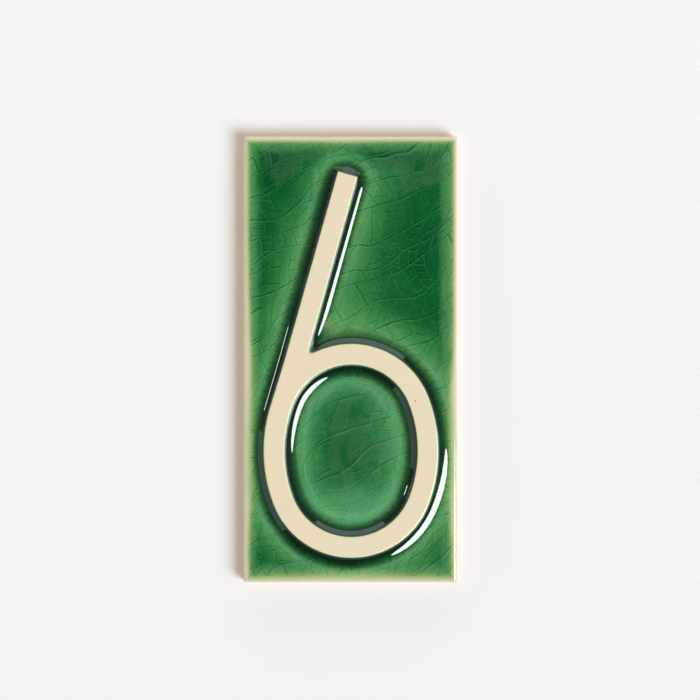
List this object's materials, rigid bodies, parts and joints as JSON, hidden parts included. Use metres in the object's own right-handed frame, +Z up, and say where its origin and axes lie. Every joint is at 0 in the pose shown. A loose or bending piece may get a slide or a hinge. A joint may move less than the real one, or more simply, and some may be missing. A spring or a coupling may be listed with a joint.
{
  "type": "house number plaque",
  "caption": "Upright rectangular glazed stoneware tile with a raised bare-clay figure six, bonded to a wall or gatepost to show a house number.",
  "frame": {"origin": "centre of the back face, on the wall", "axes": "+Z up the tile, +X to the right as seen from the front, -Y out of the wall towards the viewer"},
  "size_m": [0.0984, 0.011, 0.2056],
  "materials": {
    "glazed_stoneware": "gloss translucent green glaze, pooled dark along the figure and thin over the rolled rim, with the figure's flat face wiped back to bare cream clay"
  },
  "bodies": {
    "root": {"number_tile": "glazed_stoneware"}
  },
  "joints": []
}
